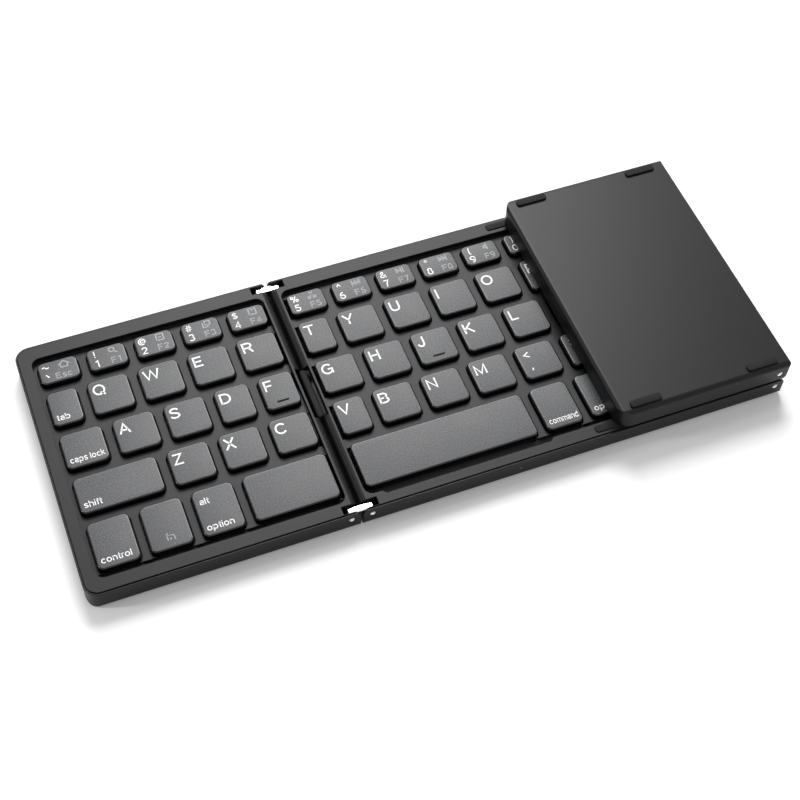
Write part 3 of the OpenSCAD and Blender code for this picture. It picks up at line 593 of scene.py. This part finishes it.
def set_glyphs(shape, glyphs, style, low, high, width=None):
    """Sets a row of glyphs on a key top."""
    capital, ink, x, how, edge, baseline = STYLES[style]
    paths, reach = [], 0.0
    for glyph in glyphs:
        if glyph == " ":
            reach += SPACE
            continue
        strokes = [path_of(stroke) for stroke in STROKES[glyph]]
        paths += [[point + Vector((reach, 0)) for point in stroke] for stroke in strokes]
        gap = ARM_GAP if glyph in ARMED else LETTER_GAP
        reach += max(point.x for stroke in strokes for point in stroke) + PEN / 2 + gap
    reach -= gap
    up = capital * MM / 10
    across = min(up, width * MM / reach) if width else up
    start = low.x + x * MM - (reach * across / 2 if how == "middle" else 0)
    base = (high.y if edge == "back" else low.y) + baseline * MM
    bottom = high.z + INK_RISE - INK_THICK

    def place(px, py, level):
        return start + px * across, base + py * up, bottom + level * INK_THICK

    for path in paths:
        draw(shape, path, place, ink)


ARROW_SIZE = 1.5 * MM
ARROW_TURNS = {"right": 0, "up": 90, "left": 180, "down": 270}


def set_arrow(shape, key, low, high):
    """A small triangle that points as the arrow key moves."""
    middle = (low + high) / 2
    rings = []
    for z in (high.z - INK_THICK, high.z + INK_RISE):
        ring = []
        for corner in range(3):
            angle = math.radians(ARROW_TURNS[key] + 120 * corner)
            ring.append((middle.x + ARROW_SIZE * math.cos(angle), middle.y + ARROW_SIZE * math.sin(angle), z))
        rings.append(ring)
    skin(shape, rings)


def make_legend(key, low, high, node):
    shape = bmesh.new()
    for text, style in legend_of(key):
        set_glyphs(shape, text, style, low, high, NARROW.get(text))
    if key in ICONS:
        set_glyphs(shape, [ICONS[key]], "icon", low, high)
    if key in ARROW_TURNS:
        set_arrow(shape, key, low, high)
    if not shape.faces:
        shape.free()
        return
    piece_from(shape, "print_" + key, body_of(node), [WHITE_INK, GREY_INK])


HOMING_BAR = Vector((4.2, 0.65, 0.3)) * MM
HOMING_FROM_FRONT = 2.6 * MM
HOMING_END = 0.3 * MM
HOMING_EDGE = 0.12 * MM


def make_homing_bar(key, low, high, node):
    """The raised bar that the first fingers feel."""
    middle = Vector(((low.x + high.x) / 2, low.y + HOMING_FROM_FRONT, high.z))
    shape = rounded_bar(middle - HOMING_BAR / 2, middle + HOMING_BAR / 2, HOMING_END, HOMING_EDGE, steps=4)
    piece_from(shape, "homing_bar_" + key, body_of(node), [WORN_ABS])


KEY_GROUPS = {
    "middle_number_keys": ["5", "6", "7", "8", "9", "0", "minus", "equals", "delete"],
    "middle_upper_keys": ["t", "y", "u", "i", "o", "p", "left_bracket", "right_bracket", "backslash"],
    "middle_home_keys": ["g", "h", "j", "k", "l", "semicolon", "quote"],
    "enter_key": ["enter"],
    "middle_lower_keys": ["v", "b", "n", "m", "comma", "period", "slash", "right_shift"],
    "middle_space_key": ["space"],
    "middle_modifier_keys": ["command", "option"],
    "arrow_keys": ["up", "left", "down", "right"],
}


def make_keys():
    for node in sorted(frame["nodes"]):
        if not (node in KEY_GROUPS or node.startswith("key_")):
            continue
        for key, (low, high) in zip(KEY_GROUPS.get(node, [node[4:]]), solids(node)):
            make_cap(key, low, high, node)
            make_legend(key, low, high, node)
            if key in ("f", "j"):
                make_homing_bar(key, low, high, node)


# ---- hinges ----

# Profile of a hinge pin, as (radius, distance from its face) in millimetres, from its head inwards: a
# shallow dish in a domed head, then the shank.
PIN_AXIS = 0.02
PIN_SHANK = 0.7
PIN_HEAD = [(PIN_AXIS, 0.34), (0.3, 0.32), (0.52, 0.12), (0.62, 0.02), (0.7, 0.0), (0.86, 0.02),
            (1.02, 0.1), (1.1, 0.22), (1.1, 0.46), (1.04, 0.5), (PIN_SHANK, 0.5)]
PIN_POINT = 0.15


def make_pins(node):
    """Turned pins with dished heads, one for each solid of the CAD node."""
    shape = bmesh.new()
    for low, high in solids(node):
        front = low.y < 0
        start = Vector(((low.x + high.x) / 2, low.y if front else high.y, (low.z + high.z) / 2))
        length = (high.y - low.y) / MM
        tip = [(PIN_SHANK, length - PIN_POINT), (PIN_SHANK - PIN_POINT, length), (PIN_AXIS, length)]
        turned(shape, [(r * MM, y * MM) for r, y in PIN_HEAD + tip], start, 1 if front else -1)
    piece_from(shape, "turned_" + node, body_of(node), [PIN_STEEL], [node])


SLEEVE_WIDTH = 2.4 * MM
# Depths of the sleeve's top and bottom below the frames.
SLEEVE_TOP = 1.05 * MM
SLEEVE_BOTTOM = 5.85 * MM
SLEEVE_CORNER = 0.9 * MM
SLEEVE_EDGE = 0.7 * MM


def make_cable_sleeve():
    """The soft sleeve over the flat cable between the left and middle panels."""
    low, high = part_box("left_cable_bridge")
    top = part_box("middle_frame")[1].z
    x = (low.x + high.x) / 2
    start = Vector((x - SLEEVE_WIDTH / 2, low.y, top - SLEEVE_BOTTOM))
    end = Vector((x + SLEEVE_WIDTH / 2, high.y, top - SLEEVE_TOP))
    shape = rounded_bar(start, end, SLEEVE_CORNER, SLEEVE_EDGE)
    sleeve = piece_from(shape, "left_cable_sleeve", body_of("left_cable_bridge"), [RUBBER],
                        ["left_cable_bridge"])
    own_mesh(sleeve)


# ---- charging socket ----

TONGUE = Vector((6.6, 3.6, 0.7)) * MM
TONGUE_FROM_BOTTOM = 0.3 * MM
TONGUE_CORNER = 0.3 * MM
TONGUE_EDGE = 0.1 * MM
CONTACTS = 12
CONTACT = Vector((0.25, 2.6, 0.04)) * MM
CONTACT_PITCH = 0.5 * MM
CONTACT_FROM_TIP = 0.5 * MM
CONTACT_CORNER = 0.08 * MM
CONTACT_EDGE = 0.02 * MM


def make_socket_tongue():
    """The tongue in the socket, with its row of contacts above and below."""
    low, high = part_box("charging_socket")
    middle = (low + high) / 2
    bottom = low.y + TONGUE_FROM_BOTTOM
    start = Vector((middle.x - TONGUE.x / 2, bottom, middle.z - TONGUE.z / 2))
    end = Vector((middle.x + TONGUE.x / 2, bottom + TONGUE.y, middle.z + TONGUE.z / 2))
    shape = rounded_bar(start, end, TONGUE_CORNER, TONGUE_EDGE, steps=3)
    piece_from(shape, "socket_tongue", "middle", [SOCKET_PLASTIC])
    strips = bmesh.new()
    tip = end.y - CONTACT_FROM_TIP
    for side in (-1, 1):
        for i in range(CONTACTS):
            x = middle.x + (i - (CONTACTS - 1) / 2) * CONTACT_PITCH
            z = middle.z + side * TONGUE.z / 2
            near = Vector((x - CONTACT.x / 2, tip - CONTACT.y, z - CONTACT.z))
            far = Vector((x + CONTACT.x / 2, tip, z + CONTACT.z))
            strip = rounded_bar(near, far, CONTACT_CORNER, CONTACT_EDGE, steps=2)
            mesh = bpy.data.meshes.new("strip")
            strip.to_mesh(mesh)
            strip.free()
            strips.from_mesh(mesh)
            bpy.data.meshes.remove(mesh)
    piece_from(strips, "socket_contacts", "middle", [GOLD_CONTACT])


# ---- CAD nodes that keep their shape ----

KEPT_NODES = {
    "left_shell": TRAY_ABS, "middle_shell": TRAY_ABS, "right_shell": TRAY_ABS,
    "left_frame": FRAME_ABS, "middle_frame": FRAME_ABS, "right_frame": FRAME_ABS,
    "left_key_plate": KEY_SHEET, "middle_key_plate": KEY_SHEET,
    "left_board": SOLDER_MASK, "middle_board": SOLDER_MASK, "right_board": SOLDER_MASK,
    "battery": POUCH_FOIL, "charging_socket": SOCKET_STEEL, "status_light": LIGHT_GUIDE,
    "left_screws": SCREW_STEEL, "middle_screws": SCREW_STEEL, "right_screws": SCREW_STEEL,
}


def finish_kept_nodes():
    for node, material in KEPT_NODES.items():
        mesh = frame["nodes"][node].data
        mesh.materials.clear()
        mesh.materials.append(material)


RUBBER_EDGE = 0.3 * MM
LINK_EDGE = 0.28 * MM
GLASS_EDGE = 0.2 * MM


def make_small_parts():
    for node in ("left_feet", "middle_feet", "right_feet", "bumper_pads"):
        softened(node, "moulded_" + node, RUBBER_EDGE, 3, RUBBER)
    # The links get bright tops, and flanks in a darker steel that is painted shade.
    for node in ("left_links", "right_links"):
        softened(node, "bright_" + node, LINK_EDGE, 3, LINK_STEEL, PAINTED_SHADE_STEEL)
    softened("right_cable_bridge", "right_cable_sleeve", RUBBER_EDGE, 3, RUBBER)
    softened("touchpad", "glass_touchpad", GLASS_EDGE, 2, TOUCH_GLASS)
    for node in ("left_hinge_pins", "middle_hinge_pins", "right_hinge_pins"):
        make_pins(node)


# ---- studio ----

# Softboxes: name, azimuth, elevation, distance, width, height, power, in degrees, metres and watts.
SOFTBOXES = [
    ("back_softbox", 15.5, 49.5, 1.15, 0.6, 0.55, 14.0),
    ("left_strip", -78, 32, 1.2, 0.12, 0.7, 4.0),
    ("right_strip", 112, 32, 1.2, 0.05, 0.6, 0.6),
]
# Light of the world on the object, where 1 is white to the camera.
FILL = 0.4
FLOOR_SIZE = 1.7
# What the paper adds to its lit white near the object, where it is seen directly.
FLOOR_GLOW = 0.12
# Distances from the middle between which the paper fades to the white of the background.
FADE_START = 0.3
FADE_END = 0.6


def seen_directly(tree):
    """1 for rays from the camera and in reflections and glass, 0 for the light on the object."""
    path = add(tree, "ShaderNodeLightPath").outputs
    either = add(tree, "ShaderNodeMath", {0: path["Is Camera Ray"], 1: path["Is Glossy Ray"]},
                 operation="MAXIMUM")
    return add(tree, "ShaderNodeMath", {0: either.outputs[0], 1: path["Is Transmission Ray"]},
               operation="MAXIMUM").outputs[0]


def make_world():
    world = bpy.data.worlds.new("studio")
    world.use_nodes = True
    tree = world.node_tree
    strength = add(tree, "ShaderNodeMapRange", {"Value": seen_directly(tree), "To Min": FILL, "To Max": 1.0})
    tree.links.new(strength.outputs["Result"], tree.nodes["Background"].inputs["Strength"])
    tree.nodes["Background"].inputs["Color"].default_value = linear("#ffffff")
    bpy.context.scene.world = world


def make_softbox(name, azimuth, elevation, distance, width, height, power):
    toward = aim(math.radians(azimuth), -math.radians(elevation))
    data = bpy.data.lights.new(name, "AREA")
    data.shape = "RECTANGLE"
    data.size = width
    data.size_y = height
    data.energy = power
    light = bpy.data.objects.new(name, data)
    turn = toward.to_track_quat("Z", "Y").to_matrix().to_4x4()
    light.matrix_world = Matrix.Translation(toward * distance) @ turn
    bpy.context.scene.collection.objects.link(light)


def make_floor():
    """Matt white paper sweep that shows white to the camera and keeps the shadow."""
    shape = bmesh.new()
    bmesh.ops.create_grid(shape, x_segments=1, y_segments=1, size=FLOOR_SIZE / 2)
    mesh = bpy.data.meshes.new("paper_sweep")
    shape.to_mesh(mesh)
    shape.free()
    material, tree, shader = new_material("white_paper_sweep")
    shader.inputs["Base Color"].default_value = linear("#f4f4f4")
    shader.inputs["Roughness"].default_value = 0.9
    shader.inputs["Specular IOR Level"].default_value = 0.2
    shader.inputs["Emission Color"].default_value = linear("#ffffff")
    place = add(tree, "ShaderNodeTexCoord").outputs["Object"]
    reach = add(tree, "ShaderNodeVectorMath", {0: place}, operation="LENGTH")
    fade = add(tree, "ShaderNodeMapRange", {"Value": reach.outputs["Value"], "From Min": FADE_START,
                                            "From Max": FADE_END, "To Min": FLOOR_GLOW, "To Max": 1.0})
    glow = add(tree, "ShaderNodeMath", {0: seen_directly(tree), 1: fade.outputs["Result"]},
               operation="MULTIPLY")
    tree.links.new(glow.outputs[0], shader.inputs["Emission Strength"])
    mesh.materials.append(material)
    floor = bpy.data.objects.new("paper_sweep", mesh)
    bpy.context.scene.collection.objects.link(floor)


make_world()
for softbox in SOFTBOXES:
    make_softbox(*softbox)
make_floor()
finish_kept_nodes()
make_small_parts()
make_cable_sleeve()
make_socket_tongue()
make_keys()

bpy.context.scene.view_settings.view_transform = "Standard"
